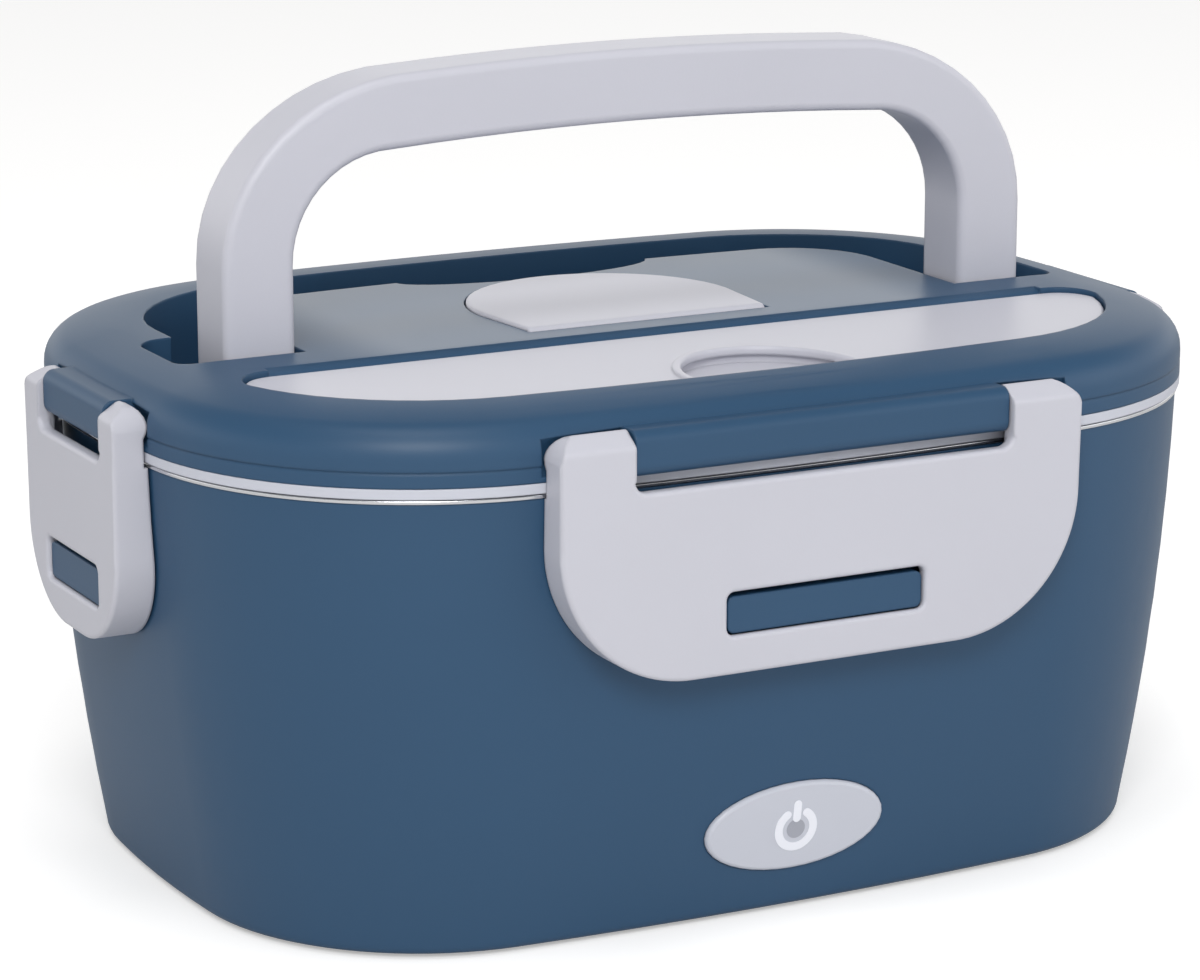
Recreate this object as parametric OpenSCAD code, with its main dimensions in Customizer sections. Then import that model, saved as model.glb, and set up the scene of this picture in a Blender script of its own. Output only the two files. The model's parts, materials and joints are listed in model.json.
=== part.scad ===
// Electric lunch box: heated base with a steel container, lift-off lid with a
// folding handle, cutlery bay, vent flap and four snap latches.
// Millimetres, +Z up, front towards -Y, origin at the middle of the rest plane.

/* [Outline] */
// Half length of the casing at the seam, left to right, to the nearest eighth
casing_half_len = 117.5; // [112:0.5:124]
// Half depth of the casing at the seam, front to back, to the nearest eighth
casing_half_dep = 84.4; // [81:0.2:90]
// Radius of the four upright corners at the seam
corner_r = 61; // [58:0.5:64]

/* [Base] */
// Height of the seam between base and lid
seam_z = 95.2; // [90:0.2:104]
// How far the feet stand out under the casing
foot_gap = 0.8; // [0.4:0.1:1.6]
// How far the wall draws in from the seam to the bottom
wall_taper = 10; // [8:0.5:11]
// How far the wall bulges out past a straight taper
wall_bulge = 1.8; // [0:0.1:2.2]
// Radius of the bottom edge of the casing
bottom_edge_r = 2; // [1:0.25:3]
// Wall thickness of the moulded casing and lid
shell_wall = 2.3; // [1.8:0.1:2.6]
// Thickness of the bottom cover
cover_wall = 2.2; // [1.6:0.1:3]
// Width of the ledge inside the casing that the bottom cover seats on
bottom_ledge = 7; // [6:0.5:9]
// Diameter of a rubber foot
foot_d = 16; // [12:1:20]
// Distance of the feet from the middle, left to right
foot_x = 72; // [50:1:76]
// Distance of the feet from the middle, front to back
foot_y = 40; // [28:1:44]
// Diameter of the bottom screws' threads
base_screw_d = 3; // [2.5:0.1:3.5]

/* [Heating] */
// Wall thickness of the heating well
well_wall = 1.5; // [1.2:0.1:1.8]
// Height of the underside of the well's floor
well_floor_z = 22; // [20:0.5:24]
// Length of the heater plate
heater_len = 124; // [100:1:134]
// Width of the heater plate
heater_wid = 84; // [70:1:92]
// Thickness of the heater plate
heater_thick = 3.6; // [3:0.1:5]
// Length of the heating element
element_len = 60; // [40:1:66]
// Width of the heating element
element_wid = 26; // [18:1:30]
// Thickness of the heating element
element_thick = 6; // [5:0.25:7]
// Sheet thickness of the element's bracket
bracket_thick = 1.2; // [0.8:0.1:1.5]
// Diameter of the thermostat
thermostat_d = 16; // [12:0.5:18]
// Diameter of the thermal fuse
fuse_d = 4; // [3:0.25:4.5]

/* [Food container] */
// Sheet thickness of the steel container
steel_thick = 0.8; // [0.6:0.1:1]
// Width of the container's flange
flange_w = 6.5; // [6:0.1:7.5]
// How far the container's wall draws in from top to bottom
container_taper = 6; // [4:0.5:7]

/* [Lid] */
// How far the lid and seal stand out past the base at the seam
lid_proud = 0.8; // [0.4:0.1:1]
// Thickness of the silicone seal
seal_thick = 2.2; // [1.8:0.1:2.6]
// Height of the lid's upright side above the seal
lid_side_h = 5.2; // [4.6:0.1:5.8]
// Radius of the lid's upper edge
lid_edge_r = 7; // [6:0.25:7.5]
// Slope of the crowned band where it meets the edge radius
crown_angle = 14; // [10:0.5:16]
// Radius of the crowned band inside the lid's edge
crown_r = 64; // [50:1:70]
// Depth of the handle channel and cutlery bay below the lid's top
bay_depth = 18; // [16.8:0.2:18.4]
// Wall thickness of the channel and bay
bay_wall = 2; // [1.4:0.1:2.2]
// Thickness of the lid liner
liner_wall = 1.8; // [1.4:0.1:2]

/* [Handle] */
// Half width of the handle across its legs
handle_half = 94.6; // [92:0.2:96]
// Width of the handle's legs, left to right
leg_w = 15.5; // [13:0.5:17]
// Thickness of the handle, front to back
handle_thick = 16; // [13:0.5:16.4]
// Height of the handle's top above its pivot
handle_rise = 65.8; // [64:0.2:67]
// Height of the handle's top bar
grip_h = 15.2; // [13:0.2:16]
// Length of the outer corner curve, left to right
corner_run = 43.9; // [38:0.5:48]
// Height of the outer corner curve
corner_rise = 38; // [34:0.5:42]
// Length of the inner corner curve, left to right
inner_run = 22.1; // [18:0.5:26]
// Height of the inner corner curve
inner_rise = 22; // [18:0.5:26]
// How far the top bar's arch drops from its middle to its corners
arch_drop = 1.5; // [0.5:0.1:2.5]
// Distance of the pivot axis in front of the lid's middle
pivot_front = 3.4; // [2:0.2:5]
// Diameter of the handle pins
handle_pin_d = 5; // [4:0.25:6]
// Gap between the handle and the lid
handle_gap = 1.7; // [1.2:0.1:2]
// Room in the pivot pocket outside each leg
pocket_room = 10; // [6:0.5:10.2]
// Reach of the pivot pocket behind the pivot axis
pocket_rear = 17; // [13:0.5:19]

/* [Cutlery cover] */
// Width of the lid's rim in front of the cutlery cover
front_rim = 16.4; // [15:0.2:18]
// Distance of the cover's rear edge in front of the lid's middle
cover_rear = 25.6; // [24.5:0.1:28]
// Thickness of the cutlery cover
cutlery_thick = 2.2; // [1.8:0.1:2.4]
// How far the cutlery cover lies below the lid's top
cover_drop = 1; // [0.6:0.1:1.4]
// Half width of the cutlery cover across its rear corners
cover_half = 99.2; // [97:0.1:99.6]
// Radius of the cover's rear corners
cover_corner = 8; // [6:0.5:9]
// Half width of the finger scoop
scoop_half = 18.3; // [14:0.5:22]
// Reach of the finger scoop from the cover's front edge
scoop_reach = 22; // [18:0.5:24]
// Depth of the finger scoop
scoop_depth = 2.8; // [2.4:0.1:3.4]
// Height of the raised rim round the finger scoop
scoop_rim = 0.7; // [0.3:0.1:0.8]
// Clearance round the covers
cover_gap = 0.4; // [0.3:0.05:0.5]

/* [Vent flap] */
// Half width of the vent flap
vent_half = 29.8; // [26:0.2:31]
// Distance of the flap's rear edge behind the lid's middle
vent_rear = 35.2; // [33:0.2:36]
// Distance of the flap's hinge axis in front of the lid's middle
vent_hinge = 13.3; // [11:0.2:14]
// Thickness of the vent flap
flap_thick = 2.4; // [2:0.1:2.6]
// How far the flap stands above the lid's top
flap_proud = 0.6; // [0.2:0.1:0.8]
// Diameter of the vent flap's hinge pin
vent_pin_d = 1.6; // [1.4:0.1:1.8]
// Diameter of the vent plug at its top
plug_d = 7.2; // [6:0.2:8]

/* [Latches] */
// Half width of the long latches, front and back
long_latch = 59; // [54:0.5:62]
// Half width of the notch in the long latches
long_notch = 42.8; // [38:0.2:44]
// Half width of the window in the long latches
long_window = 22.6; // [18:0.2:26]
// Radius of the lower corners of the long latches
long_corner = 29; // [22:0.5:31]
// How far the long latches' faces stand out from the seam
long_standoff = 5.4; // [5.2:0.1:5.8]
// Half width of the short latches, left and right
short_latch = 24.8; // [22:0.2:27]
// Half width of the notch in the short latches
short_notch = 17.3; // [14:0.1:18]
// Half width of the window in the short latches
short_window = 14.4; // [11:0.1:15]
// Radius of the lower corners of the short latches
short_corner = 20; // [14:0.5:21]
// How far the short latches' faces stand out from the seam
short_standoff = 7; // [6.4:0.1:7.4]
// Distance from the seam down to a latch's bottom edge
latch_drop = 38.4; // [36:0.2:42]
// Distance from the seam down to the top of a latch's window
window_drop = 21.7; // [20:0.1:23]
// Height of a latch's window
window_h = 8.9; // [8:0.1:10]
// Thickness of a latch's face
latch_wall = 2.5; // [2:0.1:2.6]
// Diameter of the latch pins
latch_pin_d = 2.6; // [2:0.1:2.8]
// Height of the latch hinge axis above the seal
hinge_rise = 4.8; // [4.6:0.1:5]

/* [Controls] */
// Half width of the indicator lens
lens_half = 20.6; // [17:0.2:23]
// Half height of the indicator lens
lens_rise = 9.6; // [8:0.2:10]
// Height of the middle of the lens
lens_z = 19.1; // [18:0.1:21]
// Thickness of the lens
lens_thick = 3.4; // [3:0.1:4]
// Width of the power inlet's socket
inlet_w = 17.6; // [17:0.2:20]
// Height of the power inlet's socket
inlet_h = 9.2; // [8.6:0.1:9.6]
// Depth of the power inlet's socket
inlet_deep = 12; // [10:0.5:14]
// Distance between the inlet's two pins
pin_pitch = 8.6; // [8.2:0.1:9]
// Diameter of an inlet pin
inlet_pin_d = 2.4; // [2.2:0.1:2.6]

/* [Hidden] */

// Clearances
slip = 0.3;
pin_slip = 0.04;
screw_slip = 0.05;
seat_slip = 0.1;
latch_gap = 0.5;
overlap = 1;
beyond = 50;

// Smoothness of round parts and of computed outlines
round_fn = 48;
corner_fn = 96;
bow_fn = 720;
corner_steps = 12;
bow_steps = 6;
wall_steps = 8;
edge_steps = 6;

// The outline is eight tangent arcs: four corners, two long bows, two short bows.
// Each bow spans an angle whose sine is 237 / 3125 and whose cosine is 3116 / 3125,
// and its radius grows in steps of 3.125, so that neighbouring arcs meet exactly.
bow_sin = 0.07584;
bow_cos = 0.99712;
bow_angle = asin(bow_sin);
bow_unit = 3.125;
arc_unit = 0.237;
rise_unit = 0.009;
bow_rise = rise_unit * (casing_half_len - corner_r) / arc_unit;
short_units = round(((casing_half_dep - corner_r) - bow_rise) / arc_unit);
long_units = round(((casing_half_len - corner_r) - rise_unit * short_units) / arc_unit);
arc_x = arc_unit * long_units;
arc_y = arc_unit * short_units;
long_r = corner_r + bow_unit * long_units;
short_r = corner_r + bow_unit * short_units;
half_len = arc_x + corner_r + rise_unit * short_units;
half_dep = arc_y + corner_r + rise_unit * long_units;
sector_reach = 125;
// Rings are swept in to this inset, and a plate fills the middle
ring_inset = 45;
mid_x = half_len - ring_inset + overlap / 2;
mid_y = half_dep - ring_inset + overlap / 2;

// Heights
cover_top = foot_gap + cover_wall;
ledge_top = cover_top + 2;
well_floor_top = well_floor_z + well_wall;
heater_top = well_floor_top + heater_thick;
container_floor = heater_top + slip;
flange_top = seam_z + steel_thick;
seal_z = flange_top + 0.2;
lid_z = seal_z + seal_thick;
lid_edge_z = lid_z + lid_side_h;
crown_end_inset = lid_edge_r * (1 - sin(crown_angle)) - lid_proud;
crown_end_z = lid_edge_z + lid_edge_r * cos(crown_angle);
crown_inset = crown_end_inset + crown_r * sin(crown_angle);
crown_z = crown_end_z - crown_r * cos(crown_angle);
lid_top = crown_z + crown_r;
skin_z = lid_top - shell_wall;
bay_floor = lid_top - bay_depth;
bay_under = bay_floor - bay_wall;
handle_sink = 1.2;
handle_z = lid_top - handle_sink - handle_thick / 2;
hinge_z = lid_z + hinge_rise;
latch_bottom = seam_z - latch_drop;
window_top = seam_z - window_drop;
window_bottom = window_top - window_h;
notch_z = seam_z + 0.3;

// How far the hinge axis lies behind a latch's face
hinge_deep = 3.6;
// Radius of the scoop in the lid that an arm turns in
arm_scoop_r = 5.4;
scoop_floor = lid_z + 1.1;

// Inset of the casing's outer wall at a height
function wall_t(z) = (seam_z - z) / seam_z;
function wall_inset(z) = wall_taper * wall_t(z) - wall_bulge * 4 * wall_t(z) * (1 - wall_t(z));

// Points along an arc, without its last one
function arc_points(cx, cy, r, from, to, steps) =
    [for (i = [0 : steps - 1]) let (a = from + (to - from) * i / steps) [cx + r * cos(a), cy + r * sin(a)]];

// The outline drawn in by an inset
function outline(inset) = let (r = corner_r - inset) concat(
    arc_points(half_len - short_r, 0, short_r - inset, -bow_angle, bow_angle, bow_steps),
    arc_points(arc_x, arc_y, r, bow_angle, 90 - bow_angle, corner_steps),
    arc_points(0, half_dep - long_r, long_r - inset, 90 - bow_angle, 90 + bow_angle, bow_steps),
    arc_points(-arc_x, arc_y, r, 90 + bow_angle, 180 - bow_angle, corner_steps),
    arc_points(short_r - half_len, 0, short_r - inset, 180 - bow_angle, 180 + bow_angle, bow_steps),
    arc_points(-arc_x, -arc_y, r, 180 + bow_angle, 270 - bow_angle, corner_steps),
    arc_points(0, long_r - half_dep, long_r - inset, 270 - bow_angle, 270 + bow_angle, bow_steps),
    arc_points(arc_x, -arc_y, r, 270 + bow_angle, 360 - bow_angle, corner_steps));

// An upright prism of the outline
module outline_prism(inset, from, to) {
    translate([0, 0, from]) linear_extrude(to - from) polygon(outline(inset));
}

function fine(v) = round(v * 1000) / 1000;
// Revolves a profile of [inset, z] points about the centre of an arc of radius r
module arc_sweep(profile, r, angle, fn) {
    rotate_extrude(angle = angle, $fn = fn) polygon([for (p = profile) [r - fine(p[0]), fine(p[1])]]);
}

// Keeps the part of an arc's ring between two rays of the outline
module sector(points) {
    intersection() {
        children();
        translate([0, 0, -beyond]) linear_extrude(beyond * 5) polygon(points);
    }
}

// Sweeps a profile of [inset, z] points all round the outline
module sweep(profile) {
    far_x = arc_x + sector_reach * bow_cos;
    far_y = arc_y + sector_reach * bow_cos;
    near_x = arc_x + sector_reach * bow_sin;
    near_y = arc_y + sector_reach * bow_sin;
    for (mx = [0, 1], my = [0, 1])
        mirror([mx, 0, 0]) mirror([0, my, 0])
            sector([[arc_x, arc_y], [far_x, near_y], [far_x, far_y], [near_x, far_y]])
                translate([arc_x, arc_y, 0]) arc_sweep(profile, corner_r, 360, corner_fn);
    for (my = [0, 1])
        mirror([0, my, 0])
            sector([[-arc_x, arc_y], [arc_x, arc_y], [near_x, far_y], [-near_x, far_y]])
                translate([0, half_dep - long_r, 0]) arc_sweep(profile, long_r, 180, bow_fn);
    for (mx = [0, 1])
        mirror([mx, 0, 0])
            sector([[arc_x, arc_y], [arc_x, -arc_y], [far_x, -near_y], [far_x, near_y]])
                translate([half_len - short_r, 0, 0]) rotate(-90) arc_sweep(profile, short_r, 180, bow_fn);
}

// A plate that fills the middle of a swept floor or top
module mid_plate(from, to) {
    translate([-mid_x, -mid_y, from]) cube([2 * mid_x, 2 * mid_y, to - from]);
}

// Places a latch or its neighbours: the seam's midpoint on one side, outwards along -Y
module at_side(side) {
    long = side == "front" || side == "back";
    turn = side == "front" ? 0 : side == "back" ? 180 : side == "left" ? -90 : 90;
    rotate(turn) translate([0, long ? -half_dep : -half_len, 0]) children();
}

// Sizes of the two kinds of latch
function is_long(side) = side == "front" || side == "back";
function latch_half(side) = is_long(side) ? long_latch : short_latch;
function notch_half(side) = is_long(side) ? long_notch : short_notch;
function window_half(side) = is_long(side) ? long_window : short_window;
function latch_corner(side) = is_long(side) ? long_corner : short_corner;
function standoff(side) = is_long(side) ? long_standoff : short_standoff;
function bow_r(side) = is_long(side) ? long_r : short_r;
SIDES = ["front", "back", "left", "right"];

// A rod along X, centred on x = 0
module rod_x(r, length) {
    rotate([0, 90, 0]) cylinder(r = r, h = length, center = true, $fn = round_fn);
}

module rounded_square(w, h, r) {
    square([w - 2 * r, h], center = true);
    square([w, h - 2 * r], center = true);
    for (x = [-1, 1], y = [-1, 1])
        translate([x * (w / 2 - r), y * (h / 2 - r)]) circle(r, $fn = round_fn);
}

function oval(rx, ry, steps = 40) =
    [for (i = [0 : steps - 1]) let (t = 360 * i / steps) [rx * cos(t), ry * sin(t)]];

/* ---- Base ---- */

bottom_edge_z = foot_gap + bottom_edge_r;
rim_inset = wall_inset(foot_gap) + shell_wall + 1.2;
catch_front_gap = 0.9;
catch_round = 1.4;
well_rim_drop = 0.2;

function casing_outer() = concat(
    [for (i = [0 : wall_steps])
        let (z = seam_z - (seam_z - bottom_edge_z) * i / wall_steps) [wall_inset(z), z]],
    [for (i = [1 : edge_steps]) let (a = 90 * i / edge_steps)
        [wall_inset(bottom_edge_z) + bottom_edge_r * (1 - cos(a)), bottom_edge_z - bottom_edge_r * sin(a)]]);

// Wall, bottom ledge for the cover, and the small ledge that carries the well
function casing_profile() = let (
    rim_z = seam_z - well_rim_drop - well_wall,
    low = ledge_top,
    inner = [for (i = [wall_steps - 1 : -1 : 1])
        let (z = low + (rim_z - 3 - low) * (wall_steps - i) / wall_steps) [wall_inset(z) + shell_wall, z]])
    concat(casing_outer(),
        [[rim_inset, foot_gap], [rim_inset, cover_top], [rim_inset + bottom_ledge, cover_top],
         [rim_inset + bottom_ledge, low], [wall_inset(low) + shell_wall, low]],
        inner,
        [[wall_inset(rim_z - 3) + shell_wall, rim_z - 3],
         [shell_wall + 1.4, rim_z - 1.5], [shell_wall + 1.4, rim_z],
         [shell_wall, rim_z], [shell_wall, seam_z]]);

// Screw posts stand on the bottom ledge
post_inset = rim_inset + bottom_ledge - 1;
post_r = base_screw_d / 2 + 2.5;
post_top = 16;
function screw_spots() = let (r = corner_r - post_inset) concat(
    [for (x = [-1, 1], y = [-1, 1]) [x * (arc_x + r * cos(45)), y * (arc_y + r * sin(45))]],
    [for (x = [-1, 1]) [x * (half_len - post_inset), 0]]);
screw_head_r = base_screw_d;
screw_head_h = 1.4;

lens_inset = wall_inset(lens_z);
lens_tilt = atan((wall_taper - 4 * wall_bulge * (1 - 2 * wall_t(lens_z))) / seam_z);
lens_proud = 0.8;

// Puts a shape drawn in X and Z on the front wall, square to it
module on_front_wall() {
    translate([0, lens_inset - half_dep, lens_z]) rotate([90 + lens_tilt, 0, 0]) children();
}

inlet_wall = 2;
inlet_z = cover_top + 2 + inlet_wall + inlet_h / 2 + 1;
inlet_flange = 2.5;
inlet_face_y = half_dep - wall_inset(inlet_z) + 1.6;
module inlet_body_2d(grow) {
    rounded_square(inlet_w + 2 * inlet_wall + 2 * grow, inlet_h + 2 * inlet_wall + 2 * grow, 3);
}
// Puts a shape drawn in X and Z on the back, its extrusion running inwards
module on_back(depth) {
    translate([0, inlet_face_y, inlet_z]) rotate([90, 0, 0]) linear_extrude(depth) children();
}

// Catch boss that a latch's window snaps over
module catch_boss(side) {
    w = 2 * (window_half(side) - latch_gap);
    front = standoff(side) - catch_front_gap;
    low = window_bottom + latch_gap - 0.1;
    high = window_top - 1.1;
    back = wall_inset(low) + 1;
    at_side(side) translate([0, back, (low + high) / 2]) rotate([90, 0, 0]) linear_extrude(front + back)
        rounded_square(w, high - low, catch_round);
}

module base_casing() {
    color("#3c5873") difference() {
        union() {
            sweep(casing_profile());
            for (side = SIDES) catch_boss(side);
            for (p = screw_spots())
                translate([p[0], p[1], cover_top])
                    cylinder(r = post_r, h = post_top - cover_top, $fn = round_fn);
        }
        for (p = screw_spots())
            translate([p[0], p[1], 0])
                cylinder(d = base_screw_d + 2 * screw_slip, h = post_top - 1, $fn = round_fn);
        on_front_wall() translate([0, 0, -beyond / 5]) linear_extrude(beyond / 2)
            polygon(oval(lens_half + seat_slip, lens_rise + seat_slip));
        on_back(beyond / 2) inlet_body_2d(seat_slip);
    }
}

board_y = rim_inset + bottom_ledge + 4 - half_dep;
board_thick = 1.6;
board_half = 18;
upright_thick = 1.6;
upright_w = 6;
module bottom_cover() {
    color("#33485d") difference() {
        union() {
            outline_prism(rim_inset + seat_slip, foot_gap, cover_top);
            for (x = [-1, 1], y = [-upright_thick - seat_slip, board_thick + seat_slip])
                translate([x * (board_half - upright_w / 2) - upright_w / 2,
                           board_y + y, cover_top - overlap])
                    cube([upright_w, upright_thick, 9]);
        }
        for (p = screw_spots()) {
            translate([p[0], p[1], 0])
                cylinder(d = base_screw_d + 4 * screw_slip, h = beyond, $fn = round_fn);
            translate([p[0], p[1], 0])
                cylinder(r = screw_head_r + screw_slip, h = foot_gap + screw_head_h, $fn = round_fn);
        }
        for (x = [-1, 1], y = [-1, 1])
            translate([x * foot_x, y * foot_y, 0])
                cylinder(d = foot_d + 2 * seat_slip, h = foot_gap + cover_wall / 2, $fn = round_fn);
    }
}

module rubber_feet() {
    color("#202225") for (x = [-1, 1], y = [-1, 1])
        translate([x * foot_x, y * foot_y, 0]) {
            cylinder(d1 = foot_d - 2 * foot_gap, d2 = foot_d, h = foot_gap, $fn = round_fn);
            translate([0, 0, foot_gap]) cylinder(d = foot_d, h = cover_wall / 2, $fn = round_fn);
        }
}

module bottom_screws() {
    color("silver") for (p = screw_spots())
        translate([p[0], p[1], foot_gap]) difference() {
            union() {
                cylinder(r = screw_head_r, h = screw_head_h, $fn = round_fn);
                cylinder(d = base_screw_d, h = post_top - foot_gap - 2, $fn = round_fn);
            }
            for (a = [0, 90]) rotate(a) cube([3.4, 0.8, 1.4], center = true);
        }
}

/* ---- Heating ---- */

well_top = seam_z - well_rim_drop;
well_inset_top = shell_wall + 1.4 + slip;
well_inset_low = wall_inset(well_floor_z) + shell_wall + 1;
heater_window = 12;
thermostat_x = element_len / 2 + thermostat_d / 2 + 2;
module heating_well() {
    color("#b9bcc4") difference() {
        union() {
            sweep([[shell_wall + seat_slip, well_top], [shell_wall + seat_slip, well_top - well_wall],
                   [well_inset_top, well_top - well_wall], [well_inset_low, well_floor_z],
                   [ring_inset, well_floor_z], [ring_inset, well_floor_top],
                   [well_inset_low + well_wall, well_floor_top], [well_inset_top + well_wall, well_top]]);
            mid_plate(well_floor_z, well_floor_top);
        }
        translate([0, 0, well_floor_z - 1]) linear_extrude(well_wall + 2) {
            rounded_square(heater_len - 2 * heater_window, heater_wid - 2 * heater_window, 5);
            translate([thermostat_x, 0]) circle(d = thermostat_d + 2 * slip, $fn = round_fn);
        }
    }
}

bracket_w = 24;
bracket_in = element_wid / 2 + slip;
ear_len = 12;
bracket_screw_y = bracket_in + ear_len - 4.5;
bracket_screw_r = 1.5;
module heater_plate() {
    color("#c9ccd0") difference() {
        translate([0, 0, well_floor_top]) linear_extrude(heater_thick)
            rounded_square(heater_len, heater_wid, 9);
        for (y = [-1, 1])
            translate([0, y * bracket_screw_y, well_floor_top - 1])
                cylinder(r = bracket_screw_r + screw_slip, h = heater_thick, $fn = round_fn);
    }
}

module heating_element() {
    color("#d8d2c4") translate([-element_len / 2, -element_wid / 2, well_floor_top - element_thick])
        cube([element_len, element_wid, element_thick]);
}

module element_bracket() {
    low = well_floor_top - element_thick - bracket_thick;
    color("silver") difference() {
        translate([bracket_w / 2, 0, 0]) rotate([90, 0, -90]) linear_extrude(bracket_w)
            for (m = [0, 1]) mirror([m, 0]) polygon([
                [-0.5, low], [bracket_in + bracket_thick, low],
                [bracket_in + bracket_thick, well_floor_top - bracket_thick],
                [bracket_in + ear_len, well_floor_top - bracket_thick],
                [bracket_in + ear_len, well_floor_top], [bracket_in, well_floor_top],
                [bracket_in, low + bracket_thick], [-0.5, low + bracket_thick]]);
        for (y = [-1, 1])
            translate([0, y * bracket_screw_y, 0])
                cylinder(r = bracket_screw_r + screw_slip, h = beyond, $fn = round_fn);
    }
}

module bracket_screws() {
    ear_under = well_floor_top - bracket_thick;
    color("#8a8d92") for (y = [-1, 1]) translate([0, y * bracket_screw_y, 0]) {
        translate([0, 0, ear_under - 2]) cylinder(r = 2.8, h = 2, $fn = round_fn);
        translate([0, 0, ear_under - 1])
            cylinder(r = bracket_screw_r, h = bracket_thick + heater_thick - 0.5, $fn = round_fn);
    }
}

module thermostat() {
    color("#c8b48a") translate([thermostat_x, 0, 0]) {
        translate([0, 0, well_floor_top - 6]) cylinder(d = thermostat_d, h = 6, $fn = round_fn);
        for (y = [-4, 4]) translate([-1.5, y - 0.4, well_floor_top - 11]) cube([3, 0.8, 6]);
    }
}

fuse_x = -element_len / 2 - fuse_d / 2 - 3;
module thermal_fuse() {
    color("#d9d9d4") translate([fuse_x, 0, well_floor_top - fuse_d / 2]) rotate([90, 0, 0]) {
        cylinder(d = fuse_d, h = 14, center = true, $fn = round_fn);
        cylinder(d = 1, h = 30, center = true, $fn = 24);
    }
}

inlet_back_y = inlet_face_y - inlet_flange - inlet_deep - inlet_wall;
tail = 4;

module led_board() {
    color("#2f6b3c") translate([-board_half, board_y, cover_top + seat_slip])
        cube([2 * board_half, board_thick, well_floor_z - 0.5 - seat_slip - cover_top]);
}

led_r = 2.2;
module status_leds() {
    color("#e8e4dc") for (x = [-4, 4])
        translate([x, board_y, lens_z]) rotate([90, 0, 0]) {
            cylinder(r = led_r + 0.3, h = 1, $fn = round_fn);
            cylinder(r = led_r, h = 6, $fn = round_fn);
            translate([0, 0, 6]) sphere(led_r, $fn = round_fn);
        }
}

module indicator_lens() {
    color("#c6c9d4") on_front_wall()
        translate([0, 0, lens_proud - lens_thick]) linear_extrude(lens_thick)
            polygon(oval(lens_half, lens_rise));
}

module power_inlet() {
    color("#1d1e20") difference() {
        union() {
            on_back(inlet_flange) inlet_body_2d(-seat_slip);
            on_back(inlet_flange + inlet_deep + inlet_wall) inlet_body_2d(-seat_slip);
        }
        translate([0, overlap, 0]) on_back(inlet_flange + inlet_deep + overlap)
            rounded_square(inlet_w, inlet_h, inlet_h / 2 - 0.1);
        for (x = [-1, 1]) translate([x * pin_pitch / 2, 0, inlet_z]) rotate([-90, 0, 0])
            cylinder(d = inlet_pin_d + 2 * screw_slip, h = inlet_face_y - inlet_flange, $fn = round_fn);
    }
}

module inlet_pins() {
    color("#c9a84c") for (x = [-1, 1])
        translate([x * pin_pitch / 2, inlet_back_y - tail, inlet_z]) rotate([-90, 0, 0])
            cylinder(d = inlet_pin_d, h = tail + inlet_wall + inlet_deep - 2, $fn = round_fn);
}

/* ---- Food container ---- */

tub_r = 8;
tub_inset_low = flange_w + container_taper;
function tub_corner(r) = [for (i = [0 : edge_steps]) let (a = 90 * i / edge_steps)
    [tub_inset_low + tub_r - r * cos(a), container_floor + tub_r - r * sin(a)]];
module food_container() {
    flange_out = lid_proud / 2;
    color("#d4d6da") {
        sweep(concat(
            [[-flange_out, flange_top], [-flange_out, seam_z], [flange_w, seam_z]],
            tub_corner(tub_r), [[ring_inset, container_floor], [ring_inset, container_floor + steel_thick]],
            [for (i = [edge_steps : -1 : 0]) tub_corner(tub_r - steel_thick)[i]],
            [[flange_w + steel_thick, flange_top]]));
        mid_plate(container_floor, container_floor + steel_thick);
    }
}

/* ---- Lid ---- */

lid_steps = 8;
crease = 0.3;
crease_z = lid_z + 3;
post_d = 7;
liner_screw_r = 1.5;
LINER_SPOTS = [[-55, -12], [55, -12], [-55, 30], [55, 30]];

function edge_arc(r, out) = [for (i = [0 : lid_steps]) let (a = (90 - crown_angle) * i / lid_steps)
    [lid_edge_r - out - r * cos(a), lid_edge_z + r * sin(a)]];
function crown_arc(r) = [for (i = [1 : lid_steps]) let (a = crown_angle * (1 - i / lid_steps))
    [crown_inset - r * sin(a), crown_z + r * cos(a)]];
function reversed(list) = [for (i = [len(list) - 1 : -1 : 0]) list[i]];

function lid_profile() = concat(
    [[shell_wall - lid_proud, lid_z], [-lid_proud, lid_z], [-lid_proud, crease_z - crease],
     [crease - lid_proud, crease_z], [-lid_proud, crease_z + crease]],
    edge_arc(lid_edge_r, lid_proud), crown_arc(crown_r), [[ring_inset, lid_top], [ring_inset, skin_z]],
    reversed(crown_arc(crown_r - shell_wall)), reversed(edge_arc(lid_edge_r - shell_wall, lid_proud)));

// U-shaped outline of the handle grown by a margin, its legs reaching below the pivot
function handle_outer(grow) = let (
    h = handle_half + grow, rise = handle_rise + grow, a = corner_run + grow, b = corner_rise + grow,
    k = arch_drop / pow(handle_half - corner_run, 2), x0 = h - a)
    concat(
        [for (i = [0 : corner_steps]) let (t = 90 * i / corner_steps)
            [x0 + a * cos(t), rise - arch_drop - b + b * sin(t)]],
        [for (i = [1 : 2 * bow_steps - 1]) let (x = x0 * (1 - i / bow_steps)) [x, rise - k * x * x]],
        [for (i = [0 : corner_steps]) let (t = 90 + 90 * i / corner_steps)
            [-x0 + a * cos(t), rise - arch_drop - b + b * sin(t)]]);
function handle_inner(grow) = let (
    h = handle_half - leg_w - grow, rise = handle_rise - grip_h - grow,
    a = inner_run - grow, b = inner_rise - grow,
    k = arch_drop / pow(handle_half - corner_run, 2), x0 = h - a, drop = k * x0 * x0)
    concat(
        [for (i = [0 : corner_steps]) let (t = 90 * i / corner_steps)
            [x0 + a * cos(t), rise - drop - b + b * sin(t)]],
        [for (i = [1 : 2 * bow_steps - 1]) let (x = x0 * (1 - i / bow_steps)) [x, rise - k * x * x]],
        [for (i = [0 : corner_steps]) let (t = 90 + 90 * i / corner_steps)
            [-x0 + a * cos(t), rise - drop - b + b * sin(t)]]);
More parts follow.
